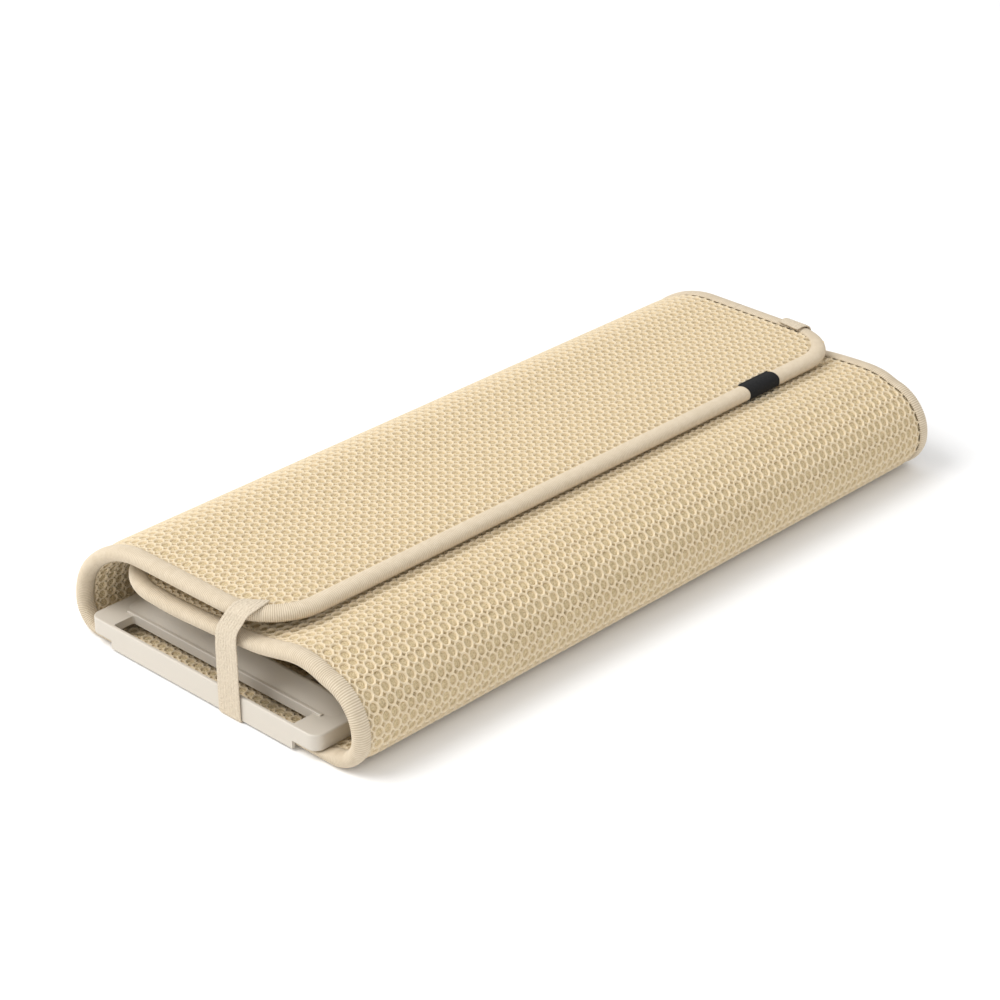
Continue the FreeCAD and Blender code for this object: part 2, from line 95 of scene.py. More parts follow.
# ---- honeycomb mesh ----
PITCH_X = 5.75
PITCH_S = 5.75
HOLE_R = 2.25              # round holes in the middle of the cells
HOLE_SHOULDER = (0.5, 0.25)  # share of the way from hole to crest, and depth, of the yarn's side
HOLE_RIM_DEPTH = 0.65
HOLE_TAPER = 0.97          # bottom of a round hole, against its rim
SMALL_HOLE_SHARE = 0.74    # diamond holes between the cells, against the yarn round them
SMALL_HOLE_TAPER = 0.95
MERGE_PER_MM = 1000        # points are merged when they agree to one part in this of a millimetre
NET_DEPTH = 1.35
PAD_OVERLAP = 0.12         # how far the pad's surface is above the bottom of the yarn
MESH_INSET = 5.4           # nearest a mesh cell's centre comes to the mat's edge
MAX_ROWS = 16              # rows of cells in one piece, to keep pieces a workable size
BEND_BEFORE, BEND_AFTER = 7.0, 20.0  # where the spans over a fold start before it and end after it
BLEND_INSET = 0.1          # share of a bend span at each end left out of the end points attach works out, which nothing uses

# ---- pad ----
PAD_INSET = 3.0            # from the mat's edge to the pad's
PAD_STEP = 3.0
PAD_COLUMNS = 156
HAIR = 0.01                # so that a row of points on the far end is counted

# ---- binding tape ----
TAPE_PITCH = 1.15          # spacing of the tape's ribs
TAPE_RIB = 0.2             # how far a rib stands up
TAPE_SAMPLES = 4           # rings of points for each rib
TAPE_CENTRE = 4.2          # how far in from the edge the middle of the bead is
GROOVE_PAINTED_SHADE = (0.70, 0.66, 0.58)  # painted shade: colour of the tape between its ribs, against the ribs'
TINY = 1e-6                # keeps a direction from being divided by nothing
# Half of the bead's section from the sewn margin round to the edge, as (inwards, n).
TAPE_SECTION = [(8.6, 2.8), (8.35, 3.45), (7.2, 3.85), (5.4, 4.05), (3.7, 3.9),
                (2.1, 3.35), (0.85, 2.35), (0.2, 1.2), (0.0, 0.0)]

# ---- straps and label ----
STRAP_THICKNESS = 1.0
STRAP_HALF_WIDTH = 8.2
LEFT_STRAP_Y, RIGHT_STRAP_Y = -24.65, -16.0
STRAP_RIDGES = 8
RIDGE_SAMPLES = 6          # points across each ridge
STRAP_RIDGE = 0.12         # height of its lengthwise ridges
STRAP_PICK = 0.05          # height of the picks across it
STRAP_PICK_PITCH = 1.6
STRAP_STEP = 0.4           # spacing of the points along it
SPLINE_STEPS = 24          # points worked out between two rows of a strap
STRAP_SQUARENESS = 30      # power that rounds its edges over, higher for squarer edges
LABEL_X = (139.0, 165.5)
LABEL_LIFT = 0.45
LABEL_MARGIN = (9.6, 3.6)  # its far edge, as (inwards, n)
LABEL_THICKNESS = 0.4
LABEL_ROUND = 0.12
LABEL_COLUMNS = 60

# ---- rack ----
RACK_ROUND = 0.35
RACK_ROUND_ABOVE = 40.0    # in degrees, edges less sharp than this stay as they are

# ---- stage and camera, its angles in degrees ----
FLOOR_HALF_SIZE = 6.0      # in metres
CAMERA_AT = (-1001.7, -943.6 + RACK_Y, 750.9)
CAMERA_AZIMUTH = -46.34
CAMERA_ELEVATION = 27.8
CAMERA_LENS = 99.9


# ---------------------------------------------------------------- middle line
class Line:
    """The middle line on one side: s, u (outwards) and z at every LINE_STEP, and its steps' ends."""

    def __init__(self, steps):
        ends, headings = [0.0], [0.0]
        for radius, value in steps:
            length = value if radius == 0 else math.radians(abs(value)) * radius
            turn = 0.0 if radius == 0 else math.radians(value)
            ends.append(ends[-1] + length)
            headings.append(headings[-1] + turn)
        self.ends = ends
        self.length = ends[-1]
        self.s = np.arange(0.0, self.length + LINE_STEP, LINE_STEP)
        heading = np.interp(self.s, ends, headings)
        between = (heading[1:] + heading[:-1]) / 2
        self.u = np.concatenate([[0.0], np.cumsum(np.cos(between)) * LINE_STEP])
        self.z = np.concatenate([[0.0], np.cumsum(np.sin(between)) * LINE_STEP]) + LINE_Z

    def halfway(self, i):
        """The developed length halfway along step i."""
        return (self.ends[i] + self.ends[i + 1]) / 2


REAR = Line(REAR_LINE)
FRONT = Line(FRONT_LINE)


def smooth(value, start, end):
    """0 before start and 1 after end, with a smooth rise between."""
    t = np.clip((value - start) / (end - start), 0.0, 1.0)
    return t * t * (3 - 2 * t)


def softened(points):
    """A smooth curve through (at, value) points, as finely spaced arrays."""
    at, value = np.array(points, float).T
    fine = np.arange(at[0], at[-1], CURVE_STEP)
    kernel = np.hanning(2 * CURVE_SOFTENING + 1)
    value = np.pad(np.interp(fine, at, value), CURVE_SOFTENING, mode="edge")
    return fine, np.convolve(value, kernel / kernel.sum(), "valid")


FLAP_CURVE = softened(FLAP_LINE)
SAG_CURVE = softened(FLAP_SAG)


def middle(s, x):
    """(y, z) of the mat's middle at s and x, with the way the soft mat really lies."""
    y, z = np.empty(s.shape), np.empty(s.shape)
    for side, line in ((1, REAR), (-1, FRONT)):
        on = s * side >= 0
        distance = np.abs(s[on])
        y[on] = side * np.interp(distance, line.s, line.u)
        z[on] = np.interp(distance, line.s, line.z)
    flap = smooth(-s, *FLAP_OVER)
    sag = smooth(-x, SAG_FROM, EDGE_X)
    target = np.interp(y, *FLAP_CURVE) * (1 - sag) + np.interp(y, *SAG_CURVE) * sag
    low, high = SETTLE
    settle = low + (high - low) * (z - LINE_Z) / (LINE_TOP - LINE_Z)
    z = np.where(s < 0, z + flap * (target - z) + (1 - flap) * settle, z + settle)
    front = FRONT_SHIFT * smooth(-s, *FRONT_SHIFT_OVER)
    rear = REAR_SHIFT * smooth(s, *REAR_SHIFT_OVER)
    return y + np.where(s < 0, front, rear), z


def surface(s, x, n, below=None):
    """The point in space at (s, x, n), in millimetres.

    With below, n is a face of the pad, which the binding presses in, and the point is that far
    below the face.
    """
    s, x, n = np.broadcast_arrays(*(np.asarray(v, float) for v in (s, x, n)))
    y, z = middle(s, x)
    y1, z1 = middle(s - SLOPE_STEP, x)
    y2, z2 = middle(s + SLOPE_STEP, x)
    run = np.hypot(y2 - y1, z2 - z1)
    base = BASE_INNER_SHARE + (1 - BASE_INNER_SHARE) * smooth(np.abs(s), *BASE_SQUASH)
    n = np.where(n < 0, n * base, n)
    if below is not None:
        share = EDGE_SHARE + (1 - EDGE_SHARE) * smooth(inside_distance(s, x), *EDGE_SQUASH)
        n = n * share - np.sign(n) * below
    return np.stack([x, y + n * (z2 - z1) / run + RACK_Y, z - n * (y2 - y1) / run], -1)


def inside_distance(s, x):
    """How far (s, x) is inside the mat's edge, with its rounded corners."""
    ds = np.where(s >= 0, REAR.length - s, s + FRONT.length)
    dx = EDGE_X - np.abs(x)
    in_corner = (ds < CORNER) & (dx < CORNER)
    round_edge = CORNER - np.hypot(CORNER - ds, CORNER - dx)
    return np.where(in_corner, round_edge, np.minimum(ds, dx))


# ---------------------------------------------------------------- where the mat is divided
def whole_rows(s):
    """s moved to the nearest edge between two rows of mesh cells."""
    return round(s / PITCH_S) * PITCH_S


def spans():
    """Each span of the mat: (name, from s, to s, bodies, nodes' prefix)."""
    rows = []
    cuts = {}
    for side, sign, line, flap in (("rear", 1, REAR, "upper_flap"), ("front", -1, FRONT, "lower_flap")):
        fold_start, fold_end = line.ends[1], line.ends[1 + FOLD_PARTS]
        at = [fold_start - BEND_BEFORE]
        at += [line.halfway(i) for i in range(1, 1 + FOLD_PARTS)]
        at += [fold_end + BEND_AFTER]
        at = [whole_rows(v) for v in at]
        chain = ["base"] + ["%s_fold_%d" % (side, i) for i in range(1, 1 + FOLD_PARTS)] + [flap]
        for i in range(1 + FOLD_PARTS):
            prefix = chain[i + 1] if i < FOLD_PARTS else None
            low, high = sorted((sign * at[i], sign * at[i + 1]))
            rows.append(("%s_bend_%d" % (side, i + 1), low, high, (chain[i], chain[i + 1]), prefix))
        low, high = sorted((sign * at[-1], sign * line.length))
        rows.append((flap, low, high, (flap,), flap))
        cuts[side] = at[0]
    rows.append(("base", -cuts["front"], cuts["rear"], ("base",), "base"))
    return rows


# ---------------------------------------------------------------- making meshes
def new_mesh(name, points, faces, look):
    """A smooth mesh object from points in millimetres and a list of faces, with a material."""
    mesh = bpy.data.meshes.new(name)
    mesh.from_pydata((points * MM).tolist(), [], faces)
    mesh.materials.append(look)
    mesh.polygons.foreach_set("use_smooth", [True] * len(mesh.polygons))
    mesh.update()
    piece = bpy.data.objects.new(name, mesh)
    bpy.context.scene.collection.objects.link(piece)
    return piece


def attach(piece, low, high, bodies, nodes=()):
    """Lets a piece ride on its body, or leaves a piece between two bodies baked where it is, and hides
    its CAD nodes.
    """
    if len(bodies) == 1:
        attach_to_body(piece, bodies[0])
    else:
        a, b = (low, high) if low >= 0 else (high, low)
        inset = BLEND_INSET * (b - a)
        start, end = (surface(v, 0.0, HALF_PAD) * MM for v in (a + inset, b - inset))
        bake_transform(piece)
    if nodes:
        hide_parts(*nodes)


def merged(points, faces, parameters):
    """Points that share the same parameters become one point."""
    key = np.round(parameters * MERGE_PER_MM).astype(np.int64)
    _, first, inverse = np.unique(key, axis=0, return_index=True, return_inverse=True)
    inverse = inverse.reshape(-1)
    return points[first], inverse[faces]


# ---------------------------------------------------------------- honeycomb mesh
def holes(centres, rings):
    """Points (s, x, depth) and faces of a hole at each centre, from rings of (offsets, depth)."""
    count = len(rings[0][0])
    out = []
    for offsets, depth in rings:
        p = centres[:, None, :] + offsets[None, :, :]
        out.append(np.concatenate([p, np.full(p.shape[:2] + (1,), depth)], -1))
    points = np.stack(out, 1)
    index = np.arange(len(centres) * len(rings) * count).reshape(len(centres), len(rings), count)
    a, b = index[:, :-1, :], index[:, 1:, :]
    faces = np.stack([a, np.roll(a, -1, 2), np.roll(b, -1, 2), b], -1)
    return points.reshape(-1, 3), faces.reshape(-1, 4)


def crest_points():
    """The octagon of crests round a large hole: corners and middles of its edges, as offsets."""
    a, b = PITCH_S / 2, PITCH_X / 2
    k = math.tan(math.pi / 8)
    corners = [(a, -b * k), (a, b * k), (a * k, b), (-a * k, b), (-a, b * k), (-a, -b * k),
               (-a * k, -b), (a * k, -b)]
    out = []
    for i, corner in enumerate(corners):
        following = corners[(i + 1) % 8]
        out += [corner, ((corner[0] + following[0]) / 2, (corner[1] + following[1]) / 2)]
    return np.array(out)


def diamond_points():
    """The crests round a small hole, as offsets from a cell's corner."""
    a, b = PITCH_S / 2, PITCH_X / 2
    k = 1 - math.tan(math.pi / 8)
    corners = [(a * k, 0), (0, b * k), (-a * k, 0), (0, -b * k)]
    out = []
    for i, corner in enumerate(corners):
        following = corners[(i + 1) % 4]
        out += [corner, ((corner[0] + following[0]) / 2, (corner[1] + following[1]) / 2)]
    return np.array(out)


def large_rings(crests, fine):
    """The rings of (offsets, depth) from the crest of the yarn down into a round hole."""
    rim = crests / np.linalg.norm(crests, axis=1, keepdims=True) * HOLE_R
    share, depth = HOLE_SHOULDER
    shoulder = [(crests * share + rim * (1 - share), depth)] if fine else []
    return [(crests, 0.0)] + shoulder + [(rim, HOLE_RIM_DEPTH), (rim * HOLE_TAPER, NET_DEPTH)]


def small_rings(crests):
    """The rings of (offsets, depth) from the crest of the yarn down into a diamond hole."""
    rim = crests * SMALL_HOLE_SHARE
    return [(crests, 0.0), (rim, HOLE_RIM_DEPTH), (rim * SMALL_HOLE_TAPER, NET_DEPTH)]


def net(name, low, high, outward, bodies, nodes):
    """The honeycomb face of one span, outside (outward 1) or inside (-1, with fewer points)."""
    first, last = round(low / PITCH_S), round(high / PITCH_S)
    rows = (np.arange(first, last) + 0.5) * PITCH_S
    half_columns = int((EDGE_X - MESH_INSET) / PITCH_X)
    columns = np.arange(-half_columns, half_columns + 1) * PITCH_X
    s, x = np.meshgrid(rows, columns, indexing="ij")
    centres = np.stack([s.ravel(), x.ravel()], -1)
    centres = centres[inside_distance(centres[:, 0], centres[:, 1]) > MESH_INSET]
    corners = centres + (PITCH_S / 2, PITCH_X / 2)
    fine = outward > 0
    step = 1 if fine else 2
    large, large_faces = holes(centres, large_rings(crest_points()[::step], fine))
    small, small_faces = holes(corners, small_rings(diamond_points()[::step]))
    flat = np.concatenate([large, small])
    faces = np.concatenate([large_faces, small_faces + len(large)])
    flat, faces = merged(flat, faces, flat)
    points = surface(flat[:, 0], flat[:, 1], outward * HALF_PAD, below=flat[:, 2])
    if outward < 0:
        faces = faces[:, ::-1]
    piece = new_mesh(name, points, faces.tolist(), YARN)
    attach(piece, low, high, bodies, nodes)


# ---------------------------------------------------------------- the pad between the faces
def pad(name, low, high, bodies, nodes):
    """The spacer pad that shows through the holes, as a closed slab narrowed at the corners."""
    steps = max(2, round((high - low) / PAD_STEP))
    s = np.arange(low, high + HAIR, (high - low) / steps)
    straight = EDGE_X - PAD_INSET
    x = np.linspace(-straight, straight, PAD_COLUMNS)
    grid_s, grid_x = np.meshgrid(s, x, indexing="ij")
    ds = np.where(grid_s >= 0, REAR.length - grid_s, grid_s + FRONT.length)
    into_corner = CORNER - np.maximum(ds, PAD_INSET)
    reach = np.sqrt(np.maximum((CORNER - PAD_INSET) ** 2 - into_corner ** 2, 0))
    limit = np.where(ds < CORNER, EDGE_X - CORNER + reach, straight)
    grid_x = grid_x / straight * limit
    grid_s = np.clip(grid_s, -(FRONT.length - PAD_INSET), REAR.length - PAD_INSET)
    below = NET_DEPTH - PAD_OVERLAP
    rows, columns = grid_s.shape
    top = surface(grid_s, grid_x, HALF_PAD, below).reshape(-1, 3)
    bottom = surface(grid_s, grid_x, -HALF_PAD, below).reshape(-1, 3)
    count = rows * columns
    index = np.arange(count).reshape(rows, columns)
    quads = np.stack([index[:-1, :-1], index[:-1, 1:], index[1:, 1:], index[1:, :-1]], -1)
    quads = quads.reshape(-1, 4)
    loop = np.concatenate([index[0, :-1], index[:-1, -1], index[-1, :0:-1], index[:0:-1, 0]])
    following = np.roll(loop, -1)
    wall = np.stack([loop, loop + count, following + count, following], -1)
    faces = np.concatenate([quads, quads[:, ::-1] + count, wall])
    piece = new_mesh(name, np.concatenate([top, bottom]), faces.tolist(), SPACER)
    attach(piece, low, high, bodies, nodes)


# ---------------------------------------------------------------- binding
def section():
    """The bead's whole section, outer margin to inner margin, as (inwards, n) points."""
    outer = np.array(TAPE_SECTION)
    inner = outer[-2::-1] * (1, -1)
    return np.concatenate([outer, inner])


def edge_path(low, high, side):
    """Points on the edge round a flap's free end, side 1 rear or -1 front, and the way inwards."""
    step = TAPE_PITCH / TAPE_SAMPLES
    free = REAR.length if side > 0 else FRONT.length
    start = low if side > 0 else -high
    straight = free - CORNER - start
    quarter = math.pi / 2 * CORNER
    across = 2 * (EDGE_X - CORNER)
    total = 2 * straight + 2 * quarter + across
    t = np.arange(0, total + step / 2, total / round(total / step))
    s, x, inward_s, inward_x = (np.empty(t.shape) for _ in range(4))
    stops = np.cumsum([straight, quarter, across, quarter, straight])
    for k, at in enumerate(t):
        if at <= stops[0]:
            s[k], x[k], inward_s[k], inward_x[k] = start + at, -EDGE_X, 0, 1
        elif at <= stops[1]:
            a = (at - stops[0]) / CORNER
            s[k] = free - CORNER + CORNER * math.sin(a)
            x[k] = -EDGE_X + CORNER - CORNER * math.cos(a)
            inward_s[k], inward_x[k] = -math.sin(a), math.cos(a)
        elif at <= stops[2]:
            s[k], x[k], inward_s[k], inward_x[k] = free, -EDGE_X + CORNER + at - stops[1], -1, 0
        elif at <= stops[3]:
            a = (at - stops[2]) / CORNER
            s[k] = free - CORNER + CORNER * math.cos(a)
            x[k] = EDGE_X - CORNER + CORNER * math.sin(a)
            inward_s[k], inward_x[k] = -math.cos(a), -math.sin(a)
        else:
            s[k], x[k], inward_s[k], inward_x[k] = free - CORNER - (at - stops[3]), EDGE_X, 0, -1
    return side * s, x, side * inward_s, inward_x, t


def tape_strip(path, lift=0.0, ribbed=True, outline=None):
    """Points and faces of a strip of tape along an edge path, and how deep in a groove each is, for the
    painted shade there.
    """
    s, x, inward_s, inward_x, t = path
    shape = section() if outline is None else outline
    rib = (TAPE_RIB if ribbed else 0.0) * np.cos(2 * math.pi * t / TAPE_PITCH)
    grow = (lift + rib)[:, None]
    out = shape - np.array([TAPE_CENTRE, 0.0])
    out = out / np.maximum(np.linalg.norm(out, axis=1, keepdims=True), TINY)
    inwards = shape[None, :, 0] + grow * out[None, :, 0]
    n = shape[None, :, 1] + grow * out[None, :, 1]
    ss = s[:, None] + inwards * inward_s[:, None]
    xx = x[:, None] + inwards * inward_x[:, None]
    points = surface(ss, xx, n).reshape(-1, 3)
    rows, columns = ss.shape
    index = np.arange(rows * columns).reshape(rows, columns)
    faces = np.stack([index[:-1, :-1], index[1:, :-1], index[1:, 1:], index[:-1, 1:]], -1)
    groove = np.repeat(0.5 - 0.5 * np.cos(2 * math.pi * t / TAPE_PITCH), columns)
    return points, faces.reshape(-1, 4), groove


def straight_path(low, high, end):
    """The same as edge_path, for one end of a span with no free edge, end -1 left or 1 right."""
    step = TAPE_PITCH / TAPE_SAMPLES
    t = np.linspace(low, high, max(2, round((high - low) / step)) + 1)
    same = np.ones(t.shape)
    return t, end * EDGE_X * same, 0 * same, -end * same, t


def binding(name, low, high, bodies, nodes, free_side):
    """The binding of one span: two strips at its ends, or one that goes round the free edge."""
    if free_side is None:
        left, left_faces, left_groove = tape_strip(straight_path(low, high, -1))
        right, right_faces, right_groove = tape_strip(straight_path(low, high, 1))
        points = np.concatenate([left, right])
        faces = np.concatenate([left_faces[:, ::-1], right_faces + len(left)])
        groove = np.concatenate([left_groove, right_groove])
    else:
        points, faces, groove = tape_strip(edge_path(low, high, free_side))
        if free_side > 0:
            faces = faces[:, ::-1]
    piece = new_mesh(name, points, faces.tolist(), TAPE)
    # groove depth sets the painted shade between the tape's ribs
    shade = piece.data.attributes.new("groove", "FLOAT", "POINT")
    shade.data.foreach_set("value", groove)
    attach(piece, low, high, bodies, nodes)


# ---------------------------------------------------------------- materials
def material(name, colour, roughness):
    """A new node material. Returns it, its node tree and its Principled shader."""
    made = bpy.data.materials.new(name)
    made.use_nodes = True
    tree = made.node_tree
    shader = tree.nodes["Principled BSDF"]
    shader.inputs["Base Color"].default_value = (*colour, 1)
    shader.inputs["Roughness"].default_value = roughness
    return made, tree, shader


def node(tree, kind, **values):
    """A node with the given input values by name."""
    made = tree.nodes.new(kind)
    for key, value in values.items():
        made.inputs[key.replace("_", " ")].default_value = value
    return made


def object_coordinates(tree, scale=(1, 1, 1)):
    """Object coordinates, scaled."""
    coordinates = tree.nodes.new("ShaderNodeTexCoord")
    mapping = node(tree, "ShaderNodeMapping", Scale=scale)
    tree.links.new(coordinates.outputs["Object"], mapping.inputs["Vector"])
    return mapping.outputs["Vector"]


MOTTLE_RANGE = (0.3, 0.7)  # noise values that are wholly the dark and wholly the light tone


def mottled(tree, shader, vector, dark, light, scale, detail=3.0):
    """Colour that wanders between two tones."""
    noise = node(tree, "ShaderNodeTexNoise", Scale=scale, Detail=detail)
    tree.links.new(vector, noise.inputs["Vector"])
    ramp = tree.nodes.new("ShaderNodeValToRGB")
    for element, position, tone in zip(ramp.color_ramp.elements, MOTTLE_RANGE, (dark, light)):
        element.position = position
        element.color = (*tone, 1)
    tree.links.new(noise.outputs["Fac"], ramp.inputs["Fac"])
    tree.links.new(ramp.outputs["Color"], shader.inputs["Base Color"])


def bump(tree, shader, height, distance, strength):
    """Bump from a height output."""
    made = node(tree, "ShaderNodeBump", Strength=strength, Distance=distance)
    tree.links.new(height, made.inputs["Height"])
    tree.links.new(made.outputs["Normal"], shader.inputs["Normal"])


def yarn():
    """Knitted polyester yarn of the mesh faces."""
    made, tree, shader = material("yarn", (0.74, 0.61, 0.415), 0.75)
    vector = object_coordinates(tree)
    mottled(tree, shader, vector, (0.69, 0.565, 0.375), (0.79, 0.66, 0.46), 900)
    knit = node(tree, "ShaderNodeTexNoise", Scale=2600.0, Detail=2.0)
    tree.links.new(vector, knit.inputs["Vector"])
    bump(tree, shader, knit.outputs["Fac"], 0.0003, 0.6)
    shader.inputs["Sheen Weight"].default_value = 0.25
    shader.inputs["Sheen Roughness"].default_value = 0.5
    return made


def spacer():
    """Upright spacer threads inside the mat, seen through the holes."""
    made, tree, shader = material("spacer_threads", (0.64, 0.515, 0.305), 0.9)
    vector = object_coordinates(tree)
    mottled(tree, shader, vector, (0.49, 0.385, 0.21), (0.78, 0.635, 0.405), 1100, 4.0)
    threads = node(tree, "ShaderNodeTexVoronoi", Scale=1500.0)
    tree.links.new(vector, threads.inputs["Vector"])
    bump(tree, shader, threads.outputs["Distance"], 0.0006, 0.9)
    return made


def tape():
    """Woven binding tape, with painted shade that darkens it between its ribs."""
    made, tree, shader = material("binding_tape", (0.72, 0.62, 0.48), 0.75)
    vector = object_coordinates(tree)
    mottled(tree, shader, vector, (0.70, 0.60, 0.46), (0.76, 0.66, 0.52), 260)
    groove = tree.nodes.new("ShaderNodeAttribute")
    groove.attribute_name = "groove"
    # painted shade: the tape's colour is multiplied darker down into the grooves between its ribs
    darken = tree.nodes.new("ShaderNodeMix")
    darken.data_type = "RGBA"
    darken.blend_type = "MULTIPLY"
    colour = shader.inputs["Base Color"].links[0].from_socket
    tree.links.new(groove.outputs["Fac"], darken.inputs["Factor"])
    tree.links.new(colour, darken.inputs["A"])
    darken.inputs["B"].default_value = (*GROOVE_PAINTED_SHADE, 1)
    tree.links.new(darken.outputs["Result"], shader.inputs["Base Color"])
    threads = node(tree, "ShaderNodeTexNoise", Scale=2400.0, Detail=2.0)
    tree.links.new(vector, threads.inputs["Vector"])
    bump(tree, shader, threads.outputs["Fac"], 0.0002, 0.5)
    return made


def elastic():
    """Woven elastic of the straps, with fine picks across it."""
    made, tree, shader = material("elastic", (0.64, 0.55, 0.42), 0.75)
    vector = object_coordinates(tree)
    mottled(tree, shader, vector, (0.59, 0.50, 0.375), (0.69, 0.595, 0.46), 900)
    weave = node(tree, "ShaderNodeTexVoronoi", Scale=1300.0)
    tree.links.new(object_coordinates(tree, (0.5, 1.0, 0.5)), weave.inputs["Vector"])
    bump(tree, shader, weave.outputs["Distance"], 0.0005, 0.9)
    return made


def rack_plastic():
    """Satin moulded plastic with a fine spark-eroded grain."""
    made, tree, shader = material("rack_plastic", (0.60, 0.55, 0.475), 0.45)
    vector = object_coordinates(tree)
    mottled(tree, shader, vector, (0.59, 0.54, 0.465), (0.61, 0.56, 0.485), 9)
    grain = node(tree, "ShaderNodeTexNoise", Scale=1800.0, Detail=2.0)
    tree.links.new(vector, grain.inputs["Vector"])
    bump(tree, shader, grain.outputs["Fac"], 0.00008, 0.35)
    shader.inputs["Coat Weight"].default_value = 0.05
    return made


def label_weave():
    """Dark satin-woven label."""
    made, tree, shader = material("label_weave", (0.008, 0.008, 0.0085), 0.85)
    vector = object_coordinates(tree)
    mottled(tree, shader, vector, (0.006, 0.006, 0.0065), (0.011, 0.011, 0.0115), 700)
    weave = node(tree, "ShaderNodeTexVoronoi", Scale=2600.0)
    tree.links.new(vector, weave.inputs["Vector"])
    bump(tree, shader, weave.outputs["Distance"], 0.0002, 0.6)
    shader.inputs["Specular IOR Level"].default_value = 0.3
    return made


YARN = yarn()
SPACER = spacer()
TAPE = tape()
ELASTIC = elastic()
RACK = rack_plastic()
LABEL = label_weave()


# ---------------------------------------------------------------- the mat
def build_mat():
    """Every span of the mat: two honeycomb faces, the pad between them and the binding."""
    for name, low, high, bodies, prefix in spans():
        free_side = {"upper_flap": 1, "lower_flap": -1}.get(name)
        parts = max(1, math.ceil((high - low) / PITCH_S / MAX_ROWS))
        cuts = [low] + [whole_rows(low + (high - low) * i / parts) for i in range(1, parts)] + [high]
        for i in range(parts):
            tag = name if parts == 1 else "%s_%s" % (name, "abc"[i])
            a, b = cuts[i], cuts[i + 1]
            outer = [prefix + "_outer_mesh"] if prefix and i == 0 else []
            inner = [prefix + "_inner_mesh"] if prefix and i == 0 else []
            net("outer_face_" + tag, a, b, 1, bodies, outer)
            net("inner_face_" + tag, a, b, -1, bodies, inner)
        core = [prefix + "_core"] if prefix else []
        pad("pad_" + name, low, high, bodies, core)
        tape_nodes = [prefix + "_binding"] if prefix else []
        binding("binding_" + name, low, high, bodies, tape_nodes, free_side)


# ---------------------------------------------------------------- straps and label
def spline(points, spacing):
    """A smooth curve through rows of values, at even steps of about spacing along the first three."""
    p = np.array(points, float)
    p = np.concatenate([2 * p[:1] - p[1:2], p, 2 * p[-1:] - p[-2:-1]])
    t = np.linspace(0, 1, SPLINE_STEPS, endpoint=False)[:, None]
    out = []
    for a, b, c, d in zip(p, p[1:], p[2:], p[3:]):
        out.append(0.5 * (2 * b + (c - a) * t + (2 * a - 5 * b + 4 * c - d) * t ** 2
                          + (3 * b - a - 3 * c + d) * t ** 3))
    curve = np.concatenate(out + [p[-2:-1]])
    length = np.concatenate([[0], np.cumsum(np.linalg.norm(np.diff(curve[:, :3], axis=0), axis=1))])
    at = np.linspace(0, length[-1], round(length[-1] / spacing) + 1)
    return np.stack([np.interp(at, length, column) for column in curve.T], -1)


def strap(name, end, rows):
    """One elastic strap, end -1 left or 1 right, with woven ridges and picks.

    rows are its middles, as (x outwards, y from the rack's centre, z), and its half width at each.
    """
    curve = spline([centre + half for centre, half in rows], STRAP_STEP)
    centre, half = curve[:, :3], curve[:, 3:]
    along = np.gradient(centre, axis=0)
    out = np.cross(along, half)
    out /= np.linalg.norm(out, axis=1, keepdims=True)
    across = np.linspace(-1, 1, STRAP_RIDGES * RIDGE_SAMPLES + 1)
    ridge = STRAP_RIDGE * np.cos(across * math.pi * STRAP_RIDGES)
    pick = STRAP_PICK * np.cos(2 * math.pi * np.arange(len(curve)) * STRAP_STEP / STRAP_PICK_PITCH)
    edge = np.sqrt(1 - np.abs(across) ** STRAP_SQUARENESS)
    lift = (STRAP_THICKNESS / 2 + ridge[None, :] + pick[:, None]) * edge[None, :]
    ring_a = np.concatenate([across, across[-2:0:-1]])
    ring_n = np.concatenate([lift, -lift[:, -2:0:-1]], axis=1)
    points = (centre[:, None, :] + half[:, None, :] * ring_a[None, :, None]
              + out[:, None, :] * ring_n[:, :, None])
    points = points * (end, 1, 1) + (0, RACK_Y, 0)
    count, around = points.shape[:2]
    index = np.arange(count * around).reshape(count, around)
    a, b = index[:-1], index[1:]
    faces = np.stack([a, np.roll(a, -1, 1), np.roll(b, -1, 1), b], -1).reshape(-1, 4)
    faces = faces[:, ::end].tolist() + [index[0, ::-end].tolist(), index[-1, ::end].tolist()]
    piece = new_mesh(name + "_strap", points.reshape(-1, 3), faces, ELASTIC)
    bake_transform(piece)
    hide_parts(name + "_strap_root", name + "_strap_band", name + "_strap_bartack")


def hanging(y):
    """The rows of a strap from the lower flap down to its hook under the rack's lip."""
    places = [(236.3, 37.0), (236.2, 20.0), (236.05, 7.0), (235.95, 2.0), (235.5, 0.85),
              (234.2, 0.65), (233.0, 0.65)]
    return [((x, y, z), (0, STRAP_HALF_WIDTH, 0)) for x, z in places]


LEFT_STRAP = [((220.1, -29.8, 63.9), (4.6, 5.8, 0)), ((224.2, -30.8, 64.4), (4.0, 6.2, 0.1)),
              ((228.4, -31.2, 64.2), (2.8, 6.8, -0.1)), ((232.4, -29.9, 61.5), (0.8, 7.3, -0.8)),
              ((233.8, -27.4, 56.8), (0.2, 7.3, -0.3)), ((234.8, -25.0, 52.3), (0, 7.5, -0.3)),
              ((235.7, -24.3, 48.2), (0, 7.7, -0.6)), ((236.2, -24.5, 43.2), (0, 7.9, -0.2))]
RIGHT_STRAP = [((222.6, -15.3, 64.5), (0.8, 7.6, 0)), ((226.0, -15.5, 65.2), (0.5, 7.9, 0)),
               ((229.6, -15.8, 64.8), (0.2, 8.1, 0)), ((232.6, -16.0, 62.6), (0, 8.2, 0)),
               ((234.3, -16.0, 58.5), (0, 8.2, 0)), ((235.5, -16.0, 53.5), (0, 8.2, 0)),
               ((236.2, -16.0, 48.0), (0, 8.2, 0))]


